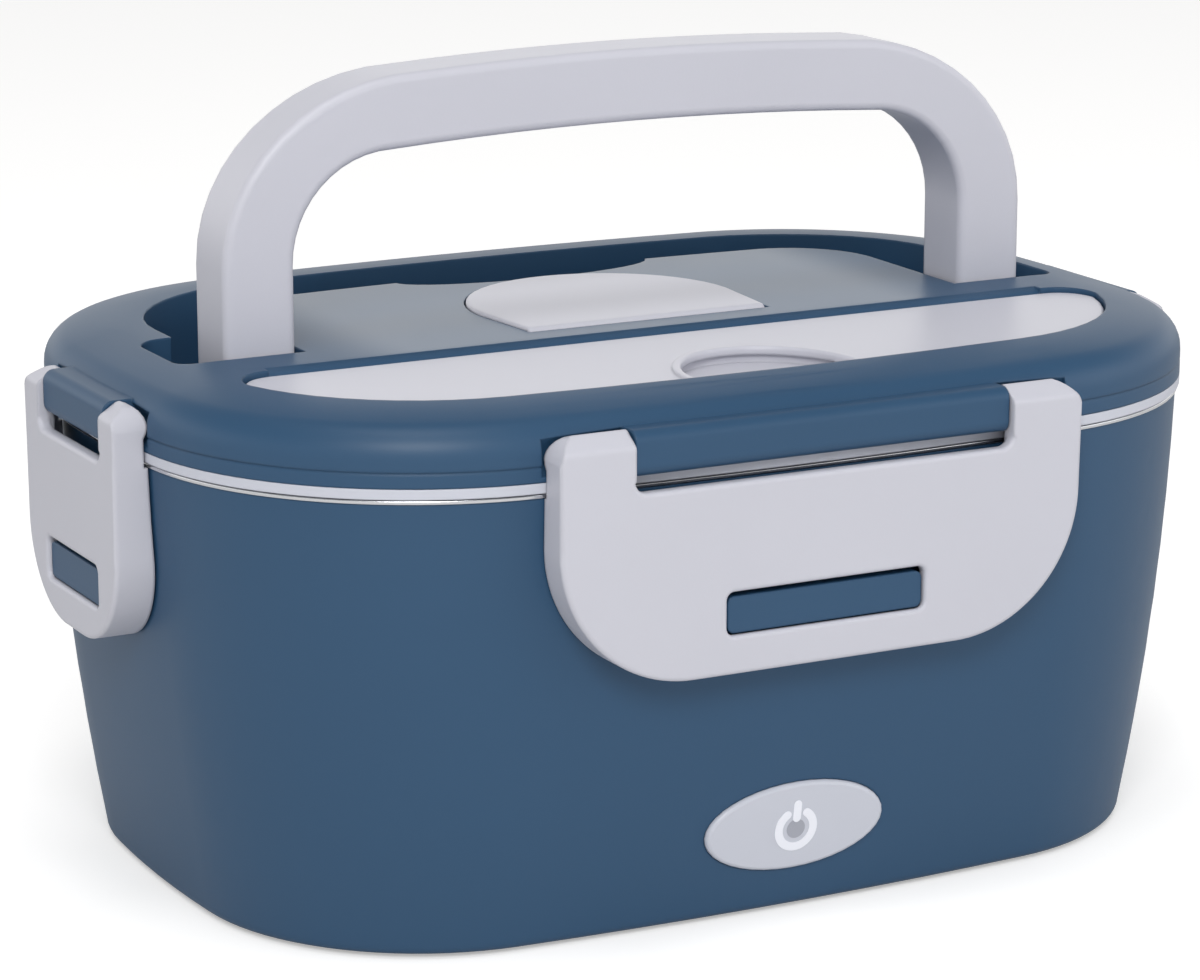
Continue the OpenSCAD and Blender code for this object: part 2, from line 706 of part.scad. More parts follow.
module handle_u(grow, below) {
    h = handle_half + grow;
    n = handle_half - leg_w - grow;
    difference() {
        polygon(concat(handle_outer(grow), [[-h, -below], [h, -below]]));
        polygon(concat(handle_inner(grow), [[-n, -below - 1], [n, -below - 1]]));
    }
}
// The same outline laid on the lid, where the handle folds to
module handle_slot(grow, below, from, to) {
    translate([0, -pivot_front, from]) linear_extrude(to - from) handle_u(grow, below);
}

slot_front = handle_thick / 2 + 0.6;
pocket_corner = 5;
module pivot_pocket(grow, from, to) {
    inner = handle_half - leg_w - handle_gap - grow;
    outer = handle_half + pocket_room + grow;
    w = outer - inner;
    d = slot_front + pocket_rear + 2 * grow;
    for (m = [0, 1]) mirror([m, 0, 0])
        translate([inner + w / 2, (pocket_rear - slot_front) / 2 - pivot_front, from])
            linear_extrude(to - from) rounded_square(w, d, pocket_corner);
}

notch_half_w = 31;
notch_reach = 9.8;
notch_y = handle_rise - grip_h - handle_gap - pivot_front;
module finger_notch(grow, from, to) {
    translate([0, notch_y, from]) linear_extrude(to - from)
        polygon(oval(notch_half_w + grow, notch_reach + grow));
}

// Plan of the cutlery cover, its recess and the bay below it
function cover_inset() = front_rim - lid_proud;
module cover_plan(grow) {
    w = cover_half + grow;
    r = cover_corner;
    rear = -cover_rear + grow;
    intersection() {
        polygon(outline(cover_inset() - grow));
        union() {
            translate([-w, -half_dep]) square([2 * w, half_dep - r + rear]);
            translate([-w + r, -half_dep]) square([2 * (w - r), half_dep + rear]);
            for (x = [-1, 1]) translate([x * (w - r), rear - r]) circle(r, $fn = corner_fn);
        }
    }
}
module bay_plan(inset, rear) {
    intersection() {
        polygon(outline(inset));
        translate([-half_len, -half_dep]) square([2 * half_len, half_dep - rear]);
    }
}
cover_z = lid_top - cover_drop - cutlery_thick;
ledge_z = cover_z - slip;
ledge_w = 4.4;
shelf_wall = 2;
bay_inset = cover_inset() + ledge_w;
bay_rear = cover_rear + 4;
skin_grip = 0.2;

// Plan of the vent flap: straight in front, round behind
flap_top = lid_top + flap_proud;
flap_z = flap_top - flap_thick;
vent_barrel_r = 2;
vent_axis_z = flap_top - vent_barrel_r;
vent_front_half = vent_half - 1.6;
vent_bend_y = vent_rear - vent_half;
module vent_plan(grow, front) {
    w = vent_front_half + grow;
    polygon(concat([[-w, front], [w, front], [vent_half + grow, vent_bend_y]],
        [for (i = [1 : 23]) let (a = 180 * i / 24)
            [(vent_half + grow) * cos(a), vent_bend_y + (vent_half + grow) * sin(a)]],
        [[-vent_half - grow, vent_bend_y]]));
}
vent_floor = flap_z - 0.7;
vent_under = vent_axis_z - vent_barrel_r - cover_gap - 1.6;
plug_y = 10;
plug_room = 0.6;
steam_wall = 2;
steam_hole_r = 1.75;

boss_reach = 10;
handle_leg_in = handle_half - leg_w;
handle_pin_from = handle_leg_in - handle_gap - boss_reach;
handle_pin_to = handle_half - 3.6;
handle_boss_r = handle_pin_d / 2 + 3;
head_h = 1.6;

// Lid bar that a latch hangs from, and the block its arms' scoops are cut in
bar_front = 2.4;
bar_low = hinge_z - lid_z;
bar_high = 4.4;
bar_round = 2.4;
function axis_out(side) = standoff(side) - hinge_deep;
module lid_bar(side) {
    w = notch_half(side) - latch_gap;
    front = axis_out(side) + bar_front;
    at_side(side) translate([-w, 0, hinge_z]) rotate([90, 0, 90]) linear_extrude(2 * w) {
        translate([-front + bar_round, -bar_low]) square([front - bar_round + 3, bar_low + bar_high]);
        translate([-front, bar_round - bar_low]) square([front, bar_low + bar_high - 2 * bar_round]);
        for (v = [bar_round - bar_low, bar_high - bar_round])
            translate([bar_round - front, v]) circle(bar_round, $fn = round_fn);
    }
}
module scoop_block(side) {
    r = bow_r(side);
    from = asin((notch_half(side) - 2.4) / r);
    to = asin((latch_half(side) + 2.6) / r);
    low = lid_z + 0.2;
    at_side(side) for (m = [0, 1]) mirror([m, 0, 0])
        translate([0, r, 0]) rotate(from - 90)
            arc_sweep([[0.3, low], [0.3, lid_edge_z + 0.9], [2, lid_edge_z + 4], [4, lid_edge_z + 5.7],
                       [6.3, lid_edge_z + 6], [6.3, low]], r, to - from, bow_fn);
}
module arm_scoop(side) {
    w = latch_half(side) - notch_half(side) + 1;
    at_side(side) for (m = [0, 1]) mirror([m, 0, 0])
        translate([notch_half(side) - 0.4, -axis_out(side), hinge_z]) difference() {
            rotate([0, 90, 0]) cylinder(r = arm_scoop_r, h = w, $fn = round_fn);
            translate([-1, -beyond / 2, -beyond - hinge_z + scoop_floor]) cube([w + 2, beyond, beyond]);
        }
}

module lid_shell() {
    color("#3c5873") difference() {
        union() {
            sweep(lid_profile());
            mid_plate(skin_z, lid_top);
            // Walls of the handle's channel, the finger notch and the pivot pockets
            handle_slot(handle_gap + bay_wall, slot_front + bay_wall, bay_under, skin_z + skin_grip);
            pivot_pocket(bay_wall, bay_under, skin_z + skin_grip);
            finger_notch(bay_wall, bay_under, skin_z + skin_grip);
            // Walls of the cutlery bay and the shelf round it
            translate([0, 0, bay_under]) linear_extrude(skin_z + skin_grip - bay_under)
                bay_plan(bay_inset - bay_wall, bay_rear - bay_wall);
            translate([0, 0, ledge_z - shelf_wall]) linear_extrude(skin_z + skin_grip - ledge_z + shelf_wall)
                cover_plan(cover_gap + shelf_wall);
            // Block under the vent flap and its steam pipe
            translate([0, 0, vent_under]) linear_extrude(skin_z + skin_grip - vent_under)
                vent_plan(5, -vent_hinge - vent_barrel_r - 4);
            translate([0, plug_y, bay_under]) cylinder(d = plug_d + 2 * plug_room + 2 * steam_wall,
                h = skin_z - bay_under, $fn = round_fn);
            for (p = LINER_SPOTS)
                translate([p[0], p[1], bay_under])
                    cylinder(d = post_d, h = skin_z - bay_under + skin_grip, $fn = round_fn);
            for (m = [0, 1]) mirror([m, 0, 0])
                translate([handle_pin_from, -pivot_front, handle_z]) rotate([0, 90, 0])
                cylinder(r = handle_boss_r, h = boss_reach - overlap, $fn = round_fn);
            for (side = SIDES) {
                lid_bar(side);
                scoop_block(side);
            }
        }
        handle_slot(handle_gap, slot_front, bay_floor, lid_top + 1);
        pivot_pocket(0, bay_floor, lid_top + 1);
        finger_notch(0, bay_floor, lid_top + 1);
        translate([0, 0, ledge_z]) linear_extrude(beyond) cover_plan(cover_gap);
        translate([0, 0, bay_floor]) linear_extrude(beyond) bay_plan(bay_inset, bay_rear);
        // Sloping strip behind the cutlery cover
        rotate([90, 0, 90]) translate([0, 0, -cover_half + cover_corner])
            linear_extrude(2 * (cover_half - cover_corner)) polygon([
                [3 - cover_rear, lid_top + 0.05], [cover_gap - cover_rear, lid_top - 1.4],
                [-cover_rear, lid_top - 1.4], [-cover_rear, lid_top + 1], [3 - cover_rear, lid_top + 1]]);
        // Vent flap's recess, hinge groove and steam hole
        translate([0, 0, vent_floor]) linear_extrude(beyond) vent_plan(cover_gap, -vent_hinge);
        translate([0, -vent_hinge, vent_axis_z]) {
            rod_x(vent_barrel_r + cover_gap, 2 * (vent_front_half + cover_gap));
            translate([-vent_front_half - cover_gap, -vent_barrel_r - cover_gap, 0])
                cube([2 * (vent_front_half + cover_gap), vent_barrel_r + cover_gap + 1, beyond]);
            rod_x(vent_pin_d / 2 + pin_slip, 2 * (vent_front_half + 4));
        }
        translate([0, plug_y, bay_under - 1])
            cylinder(d = plug_d + 2 * plug_room, h = beyond, $fn = round_fn);
        for (p = LINER_SPOTS)
            translate([p[0], p[1], bay_under - 1])
                cylinder(r = liner_screw_r + screw_slip, h = 12, $fn = round_fn);
        translate([0, -pivot_front, handle_z]) rod_x(handle_pin_d / 2 + screw_slip, 2 * handle_leg_in);
        for (side = SIDES) {
            arm_scoop(side);
            at_side(side) translate([0, -axis_out(side), hinge_z])
                rod_x(latch_pin_d / 2 + pin_slip, 2 * notch_half(side) + 2);
        }
    }
}

liner_top = bay_under - seat_slip;
liner_rim = flange_w + steel_thick + 1;
liner_flange = 1.5;
bead = 0.5;
module lid_liner() {
    color("#c9ccd2") difference() {
        union() {
            sweep([[liner_rim - 1.5, lid_z], [liner_rim, lid_z], [liner_rim, seal_z - 0.1],
                   [liner_rim - bead, seal_z - 0.5], [liner_rim - bead, seal_z - 1],
                   [liner_rim, seal_z - 1.5],
                   [liner_rim + 0.4, liner_top - liner_wall + 1.5], [liner_rim + 1.9, liner_top - liner_wall],
                   [ring_inset, liner_top - liner_wall], [ring_inset, liner_top],
                   [liner_rim + 2.4, liner_top], [liner_rim + 2, liner_top + 0.4],
                   [liner_rim + 2, lid_z + liner_flange], [liner_rim - 1.5, lid_z + liner_flange]]);
            mid_plate(liner_top - liner_wall, liner_top);
        }
        translate([0, plug_y, 0]) cylinder(r = steam_hole_r, h = 2 * beyond, $fn = round_fn);
        for (p = LINER_SPOTS)
            translate([p[0], p[1], 0])
                cylinder(r = liner_screw_r + 2 * screw_slip, h = 2 * beyond, $fn = round_fn);
    }
}

module liner_screws() {
    low = liner_top - liner_wall;
    color("silver") for (p = LINER_SPOTS) translate([p[0], p[1], low - 1.4]) difference() {
        union() {
            cylinder(r = 2.8, h = 1.4, $fn = round_fn);
            cylinder(r = liner_screw_r, h = 13, $fn = round_fn);
        }
        for (a = [0, 90]) rotate(a) cube([3.2, 0.7, 1.2], center = true);
    }
}

module lid_seal() {
    color("#d6d7de") sweep([[-lid_proud, seal_z], [-lid_proud, lid_z], [liner_rim - seat_slip, lid_z],
                            [liner_rim - seat_slip, seal_z]]);
}

/* ---- Cutlery ---- */

cutlery_len = 132;
cutlery_thick_w = 1.4;
fork_tilt = 3;
module fork_plan() {
    half = cutlery_len / 2;
    difference() {
        polygon([[-half, -3.6], [-half + 3, -4], [-20, -2.2], [18, -2], [30, -3.4], [38, -7.4],
                 [42, -8], [half - 2, -7], [half - 2, 7], [42, 8],
                 [38, 7.4], [30, 3.4], [18, 2], [-20, 2.2], [-half + 3, 4], [-half, 3.6]]);
        for (y = [-3.6, 0, 3.6]) translate([42, y - 0.9]) square([30, 1.8]);
    }
}
module side_bend(width, bowl) {
    half = cutlery_len / 2;
    t = cutlery_thick_w;
    translate([0, width / 2, 0]) rotate([90, 0, 0]) linear_extrude(width) polygon([
        [-half, 0], [-20, 0], [14, 2.2], [30, bowl], [44, 0], [half, 1.6], [half, 1.6 + t], [44, t],
        [30, bowl + t], [14, 2.2 + t], [-20, t], [-half, t]]);
}
module fork() {
    color("silver") translate([0, -38, bay_floor]) rotate(-fork_tilt) intersection() {
        side_bend(20, 2.6);
        translate([0, 0, -1]) linear_extrude(10) fork_plan();
    }
}

bowl_r = 34;
module spoon() {
    half = cutlery_len / 2;
    t = cutlery_thick_w;
    color("silver") translate([0, -52, bay_floor]) rotate(-fork_tilt) mirror([1, 0, 0]) {
        intersection() {
            translate([47, 0, bowl_r]) difference() {
                sphere(bowl_r, $fn = corner_fn);
                sphere(bowl_r - t, $fn = corner_fn);
            }
            translate([47, 0, -1]) linear_extrude(9) polygon(oval(18, 10.4));
        }
        translate([0, 3, 0]) rotate([90, 0, 0]) linear_extrude(6) polygon([
            [-half, 0], [-10, 0], [14, 3.6], [31.4, 4.4],
            [31.4, 4.4 + t], [14, 3.6 + t], [-10, t], [-half, t]]);
    }
}

/* ---- Lid hardware ---- */

module handle_pins() {
    color("silver") for (m = [0, 1]) mirror([m, 0, 0])
        translate([0, -pivot_front, handle_z]) rotate([0, 90, 0]) {
        translate([0, 0, handle_pin_from - head_h])
            cylinder(d = handle_pin_d + 3, h = head_h, $fn = round_fn);
        translate([0, 0, handle_pin_from - overlap])
            cylinder(d = handle_pin_d, h = handle_pin_to - handle_pin_from + overlap, $fn = round_fn);
    }
}

module vent_hinge_pin() {
    color("silver") translate([0, -vent_hinge, vent_axis_z])
        rod_x(vent_pin_d / 2, 2 * (vent_front_half + 3.4));
}

module handle() {
    color("#c3c4d0") difference() {
        union() {
            translate([0, handle_thick / 2 - pivot_front, handle_z]) rotate([90, 0, 0])
                linear_extrude(handle_thick) handle_u(0, 0);
            for (m = [0, 1]) mirror([m, 0, 0])
                translate([handle_leg_in, -pivot_front, handle_z]) rotate([0, 90, 0])
                cylinder(d = handle_thick, h = leg_w, $fn = corner_fn);
        }
        for (m = [0, 1]) mirror([m, 0, 0])
            translate([handle_leg_in - 1, -pivot_front, handle_z]) rotate([0, 90, 0])
                cylinder(r = handle_pin_d / 2 + pin_slip,
                         h = handle_pin_to - handle_leg_in + 1.3, $fn = round_fn);
    }
}

/* ---- Covers ---- */

cup_wall = 1.6;
scoop_rim_w = 1.8;
scoop_lip = 1;
scoop_under = 1;
scoop_step = 1.2;
module scoop_oval(grow) {
    translate([0, cover_inset() - half_dep]) polygon(oval(scoop_half + grow, scoop_reach + grow, 64));
}
module scoop_2d(grow) {
    intersection() {
        scoop_oval(grow);
        cover_plan(0);
    }
}
module cutlery_cover() {
    top = lid_top - cover_drop;
    color("#c3c4d0") difference() {
        union() {
            translate([0, 0, cover_z]) linear_extrude(cutlery_thick) cover_plan(0);
            translate([0, 0, top - 1]) linear_extrude(1 + scoop_rim) scoop_2d(scoop_rim_w);
            intersection() {
                translate([0, 0, top - scoop_depth - cup_wall]) linear_extrude(scoop_depth)
                    scoop_2d(scoop_under + cup_wall);
                translate([0, 0, top - beyond]) linear_extrude(beyond)
                    bay_plan(bay_inset + slip, bay_rear + slip);
            }
        }
        // The scoop is open towards the cover's front edge, and its wall is let in under the rim
        translate([0, 0, top - scoop_step]) linear_extrude(beyond) scoop_oval(0);
        translate([0, 0, top - scoop_depth]) linear_extrude(beyond) intersection() {
            scoop_2d(0);
            bay_plan(bay_inset + slip + cup_wall, bay_rear);
        }
        translate([0, 0, top - scoop_depth]) linear_extrude(scoop_depth - scoop_lip) intersection() {
            scoop_2d(scoop_under);
            bay_plan(bay_inset + slip + cup_wall, bay_rear);
        }
    }
}

module vent_flap() {
    color("#c3c4d0") difference() {
        union() {
            translate([0, 0, flap_z]) linear_extrude(flap_thick) vent_plan(0, -vent_hinge);
            translate([0, -vent_hinge, vent_axis_z]) rod_x(vent_barrel_r, 2 * vent_front_half);
        }
        translate([0, -vent_hinge, vent_axis_z]) rod_x(vent_pin_d / 2 + pin_slip, 3 * vent_front_half);
    }
}

module vent_plug() {
    color("#e8e8ea") translate([0, plug_y, flap_z - 4.4])
        cylinder(d1 = plug_d - 1.6, d2 = plug_d, h = 4.4, $fn = round_fn);
}

/* ---- Latches ---- */

latch_side = 2;
lower_lip = 1.6;
arm_foot = 9;
arm_top = 4.4;
arm_round = 6;
notch_round = 2.6;
module latch_plan(side, inset, top) {
    h = latch_half(side) - inset;
    r = latch_corner(side) - inset;
    low = latch_bottom + inset;
    translate([-h, low + r]) square([2 * h, top - low - r]);
    translate([-h + r, low]) square([2 * (h - r), top - low]);
    for (x = [-1, 1]) intersection() {
        translate([x * (h - r), low + r]) circle(r, $fn = corner_fn);
        translate([-h, low]) square([2 * h, r]);
    }
}

// Opening between a latch's arms, round at its lower corners
module notch_plan(n) {
    translate([-n, notch_z + notch_round]) square([2 * n, beyond]);
    translate([notch_round - n, notch_z]) square([2 * (n - notch_round), notch_round + 1]);
    for (x = [-1, 1])
        translate([x * (n - notch_round), notch_z + notch_round]) circle(notch_round, $fn = round_fn);
}

// The casing, seal and lid grown by the latch's clearance, as one wedge
module latch_clearance(side) {
    r = bow_r(side);
    a = asin((latch_half(side) + 6) / r);
    low = latch_bottom - 4;
    steps = 8;
    at_side(side) translate([0, r, 0]) rotate(-90 - a) arc_sweep(concat(
        [[20, low], [20, hinge_z + 1], [-lid_proud - latch_gap, hinge_z + 1],
         [-lid_proud - latch_gap, seam_z]],
        [for (i = [0 : steps]) let (z = seam_z - (seam_z - low) * i / steps) [wall_inset(z) - latch_gap, z]]),
        r, 2 * a, bow_fn);
}

module latch(side) {
    h = latch_half(side);
    n = notch_half(side);
    s = standoff(side);
    u = axis_out(side);
    win = window_half(side);
    arm_z = hinge_z - 3;
    win_r = 1.7;
    color("#c3c4d0") difference() {
        union() {
            difference() {
                at_side(side) union() {
                    translate([0, latch_wall - s, 0]) rotate([90, 0, 0]) linear_extrude(latch_wall)
                        latch_plan(side, 0, arm_z);
                    translate([0, 8, 0]) rotate([90, 0, 0]) linear_extrude(8 + s - 1) difference() {
                        latch_plan(side, 0, hinge_z);
                        latch_plan(side, latch_side, lid_z + 9);
                    }
                }
                latch_clearance(side);
            }
            at_side(side) for (m = [0, 1]) mirror([m, 0, 0])
                translate([n, -u, hinge_z]) rotate([90, 0, 90]) linear_extrude(h - n) polygon([
                    [-hinge_deep, -arm_foot], [-hinge_deep, 0.9], [-3.45, 1.6], [-3, 2.1],
                    [0.2, 4.2], [1, arm_top], [2.1, 4], [3, 3.2], [3.6, 2.2], [3.9, 1],
                    [3.9, 0], [3.5, -1.2], [2.9, -2.2], [1.7, -2.94], [0, -3.4],
                    [0, -arm_foot]]);
        }
        at_side(side) {
            translate([0, 1, 0]) rotate([90, 0, 0]) linear_extrude(beyond) {
                notch_plan(n);
                translate([0, (window_bottom + window_top) / 2]) rounded_square(2 * win, window_h, win_r);
            }
            // Chamfer behind the window's lower edge, so that it swings clear of the catch
            translate([-win, 0, 0]) rotate([90, 0, 90]) linear_extrude(2 * win) polygon([
                [lower_lip - s, window_bottom - 0.01], [lower_lip - s + 2, window_bottom - 1.8],
                [lower_lip - s + 2, window_bottom + 1], [lower_lip - s, window_bottom + 1]]);
            translate([0, -u, hinge_z]) rod_x(latch_pin_d / 2 + pin_slip, 2 * (h - 1.2));
            // Rounded outer corners of the arms
            for (m = [0, 1]) mirror([m, 0, 0])
                translate([h - arm_round + 0.1, beyond / 2, hinge_z + arm_top - arm_round + 0.1])
                rotate([90, 0, 0]) linear_extrude(beyond) difference() {
                    square(arm_round + 2);
                    circle(arm_round, $fn = corner_fn);
                }
        }
    }
}
module latch_front() { latch("front"); }
module latch_back() { latch("back"); }
module latch_left() { latch("left"); }
module latch_right() { latch("right"); }

module latch_pin(side) {
    color("silver") at_side(side) translate([0, -axis_out(side), hinge_z])
        rod_x(latch_pin_d / 2, 2 * (latch_half(side) - 1.5));
}
module latch_pin_front() { latch_pin("front"); }
module latch_pin_back() { latch_pin("back"); }
module latch_pin_left() { latch_pin("left"); }
module latch_pin_right() { latch_pin("right"); }

base_casing();
bottom_cover();
rubber_feet();
bottom_screws();
heating_well();
heater_plate();
heating_element();
element_bracket();
bracket_screws();
thermostat();
thermal_fuse();
led_board();
status_leds();
indicator_lens();
power_inlet();
inlet_pins();
food_container();
lid_shell();
lid_liner();
lid_seal();
liner_screws();
fork();
spoon();
handle_pins();
vent_hinge_pin();
handle();
cutlery_cover();
vent_flap();
vent_plug();
latch_front();
latch_back();
latch_left();
latch_right();
latch_pin_front();
latch_pin_back();
latch_pin_left();
latch_pin_right();
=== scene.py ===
import json
import math

import bmesh
import bpy
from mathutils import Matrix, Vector
from mathutils.kdtree import KDTree

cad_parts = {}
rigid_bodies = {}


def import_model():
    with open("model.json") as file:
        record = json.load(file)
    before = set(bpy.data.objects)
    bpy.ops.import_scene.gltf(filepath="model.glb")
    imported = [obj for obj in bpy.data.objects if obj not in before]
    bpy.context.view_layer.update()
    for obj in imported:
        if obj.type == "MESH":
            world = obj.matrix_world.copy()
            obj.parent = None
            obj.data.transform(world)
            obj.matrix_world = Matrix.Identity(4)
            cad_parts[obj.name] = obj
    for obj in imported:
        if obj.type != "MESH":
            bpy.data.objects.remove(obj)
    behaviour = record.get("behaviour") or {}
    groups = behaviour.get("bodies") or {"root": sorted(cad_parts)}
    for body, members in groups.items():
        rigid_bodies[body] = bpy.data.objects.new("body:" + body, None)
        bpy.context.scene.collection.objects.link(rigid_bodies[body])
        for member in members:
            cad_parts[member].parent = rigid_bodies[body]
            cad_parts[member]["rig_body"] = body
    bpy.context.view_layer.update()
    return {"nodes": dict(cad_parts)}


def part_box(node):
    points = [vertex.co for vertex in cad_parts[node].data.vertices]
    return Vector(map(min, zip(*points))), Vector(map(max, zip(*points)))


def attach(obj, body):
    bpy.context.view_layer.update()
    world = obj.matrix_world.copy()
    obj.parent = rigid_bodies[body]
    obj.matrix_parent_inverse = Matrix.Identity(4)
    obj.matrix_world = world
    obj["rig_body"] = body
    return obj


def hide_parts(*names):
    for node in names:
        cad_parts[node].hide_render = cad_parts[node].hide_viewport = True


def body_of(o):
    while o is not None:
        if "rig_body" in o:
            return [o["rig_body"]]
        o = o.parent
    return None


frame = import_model()
scene = bpy.context.scene

# ---- Camera ----
# A long lens from the left and in front, a little above the lid.
CAMERA_AT = Vector((-0.4060, -0.7714, 0.2886))
LOOK_AT = Vector((-0.00391, 0.0, 0.07233))
FOCAL_MM = 124.9
SENSOR_MM = 36.0
SEES_TO = 50.0

camera_data = bpy.data.cameras.new("camera")
camera_data.lens = FOCAL_MM
camera_data.sensor_width = SENSOR_MM
camera_data.sensor_fit = "HORIZONTAL"
camera_data.clip_end = SEES_TO
camera = bpy.data.objects.new("camera", camera_data)
scene.collection.objects.link(camera)
camera.location = CAMERA_AT
camera.rotation_euler = (LOOK_AT - CAMERA_AT).to_track_quat("-Z", "Y").to_euler()
scene.camera = camera

# ---- Studio: floor, sky and lamps ----
# A pale floor under soft even light. Gloss sees a white backdrop round the horizon and a dim
# ceiling, and the camera and clear pieces see plain white.
SOFT_COLOUR = (0.97, 0.98, 1.0, 1.0)
SOFT_STRENGTH = 0.55
WHITE_COLOUR = (0.985, 0.975, 0.96, 1.0)
CEILING_FROM = 0.30
CEILING_TO = 0.55
HORIZON_LEVEL = 1.5
CEILING_LEVEL = 0.22
FRONT_UNTIL = -0.4
BACK_FROM = 0.6
FRONT_LEVEL = 0.55
BACK_LEVEL = 1.0
PLAIN_LEVEL = 1.0

scene.view_settings.view_transform = "Standard"

world = bpy.data.worlds.new("studio")
scene.world = world
world.use_nodes = True
sky = world.node_tree
sky.nodes.clear()


def give_inputs(tree, node, given):
    """Sets or links a node's inputs in order, and returns its first output."""
    for socket, value in zip(node.inputs, given):
        if isinstance(value, float):
            socket.default_value = value
        else:
            tree.links.new(value, socket)
    return node.outputs[0]


def maths(tree, operation, *given):
    """A maths node on numbers or sockets."""
    node = tree.nodes.new("ShaderNodeMath")
    node.operation = operation
    return give_inputs(tree, node, given)


def smooth_range(tree, value, low, high, at_low, at_high):
    """A smooth step from one level to another."""
    node = tree.nodes.new("ShaderNodeMapRange")
    node.interpolation_type = "SMOOTHSTEP"
    return give_inputs(tree, node, (value, low, high, at_low, at_high))


sky_out = sky.nodes.new("ShaderNodeOutputWorld")
sky_soft = sky.nodes.new("ShaderNodeBackground")
sky_soft.inputs["Color"].default_value = SOFT_COLOUR
sky_soft.inputs["Strength"].default_value = SOFT_STRENGTH
sky_white = sky.nodes.new("ShaderNodeBackground")
sky_white.inputs["Color"].default_value = WHITE_COLOUR
sky_mix = sky.nodes.new("ShaderNodeMixShader")
sky_rays = sky.nodes.new("ShaderNodeLightPath")
sky_way = sky.nodes.new("ShaderNodeSeparateXYZ")
sky_place = sky.nodes.new("ShaderNodeTexCoord")
sky.links.new(sky_place.outputs["Generated"], sky_way.inputs[0])
ceiling = smooth_range(sky, sky_way.outputs["Z"], CEILING_FROM, CEILING_TO, HORIZON_LEVEL, CEILING_LEVEL)
dim_front = smooth_range(sky, sky_way.outputs["Y"], FRONT_UNTIL, BACK_FROM, FRONT_LEVEL, BACK_LEVEL)
gloss_level = maths(sky, "MULTIPLY", ceiling, dim_front)
plain_white = maths(
    sky, "MAXIMUM", sky_rays.outputs["Is Camera Ray"], sky_rays.outputs["Is Transmission Ray"])
seen_directly = maths(sky, "MAXIMUM", plain_white, sky_rays.outputs["Is Glossy Ray"])
backdrop = sky.nodes.new("ShaderNodeMix")
sky.links.new(plain_white, backdrop.inputs["Factor"])
sky.links.new(gloss_level, backdrop.inputs["A"])
backdrop.inputs["B"].default_value = PLAIN_LEVEL
sky.links.new(backdrop.outputs["Result"], sky_white.inputs["Strength"])
sky.links.new(seen_directly, sky_mix.inputs["Fac"])
sky.links.new(sky_soft.outputs[0], sky_mix.inputs[1])
sky.links.new(sky_white.outputs[0], sky_mix.inputs[2])
sky.links.new(sky_mix.outputs[0], sky_out.inputs["Surface"])

FLOOR_HALF = 6.0
FLOOR_COLOUR = (0.8, 0.795, 0.785, 1.0)
FLOOR_ROUGHNESS = 0.9
FLOOR_GLOW_COLOUR = (1.0, 0.99, 0.975, 1.0)
FLOOR_GLOW = 0.4
floor_mesh = bpy.data.meshes.new("floor")
floor_mesh.from_pydata(
    [(-FLOOR_HALF, -FLOOR_HALF, 0), (FLOOR_HALF, -FLOOR_HALF, 0),
     (FLOOR_HALF, FLOOR_HALF, 0), (-FLOOR_HALF, FLOOR_HALF, 0)],
    [], [(0, 1, 2, 3)])
floor = bpy.data.objects.new("floor", floor_mesh)
scene.collection.objects.link(floor)
floor_paint = bpy.data.materials.new("floor_paint")
floor_paint.use_nodes = True
floor_tree = floor_paint.node_tree
floor_shader = floor_tree.nodes["Principled BSDF"]
floor_shader.inputs["Base Color"].default_value = FLOOR_COLOUR
floor_shader.inputs["Roughness"].default_value = FLOOR_ROUGHNESS
floor_shader.inputs["Specular IOR Level"].default_value = 0.0
floor_shader.inputs["Emission Color"].default_value = FLOOR_GLOW_COLOUR
floor_rays = floor_tree.nodes.new("ShaderNodeLightPath")
floor_glow = maths(floor_tree, "MULTIPLY", floor_rays.outputs["Is Camera Ray"], FLOOR_GLOW)
floor_tree.links.new(floor_glow, floor_shader.inputs["Emission Strength"])
floor_mesh.materials.append(floor_paint)

LAMPS = [
    ("key", (-0.8, -1.45, 1.3), 0.8, 18.5),
    ("fill", (1.6, -1.2, 0.7), 1.6, 7.0),
    ("top", (-0.25, -0.3, 1.9), 0.6, 5.5),
]
LAMPS_AIM_AT = Vector((0, 0, 0.08))
for lamp_name, lamp_at, lamp_size, lamp_watts in LAMPS:
    lamp_data = bpy.data.lights.new(lamp_name, "AREA")
    lamp_data.shape = "DISK"
    lamp_data.size = lamp_size
    lamp_data.energy = lamp_watts
    lamp = bpy.data.objects.new(lamp_name, lamp_data)
    scene.collection.objects.link(lamp)
    lamp.location = lamp_at
    aim = LAMPS_AIM_AT - Vector(lamp_at)
    lamp.rotation_euler = aim.to_track_quat("-Z", "Y").to_euler()

# ---- Base casing ----
# Injection-moulded blue polypropylene with a fine spark-eroded grain. Four catches stand out
# under the latches' windows. A softened normal rounds the light on its small edges.
FLAT_WITHIN_DEG = 0.4
NO_ANGLE = 9.0
SHORTEST_BRIDGE = 0.001


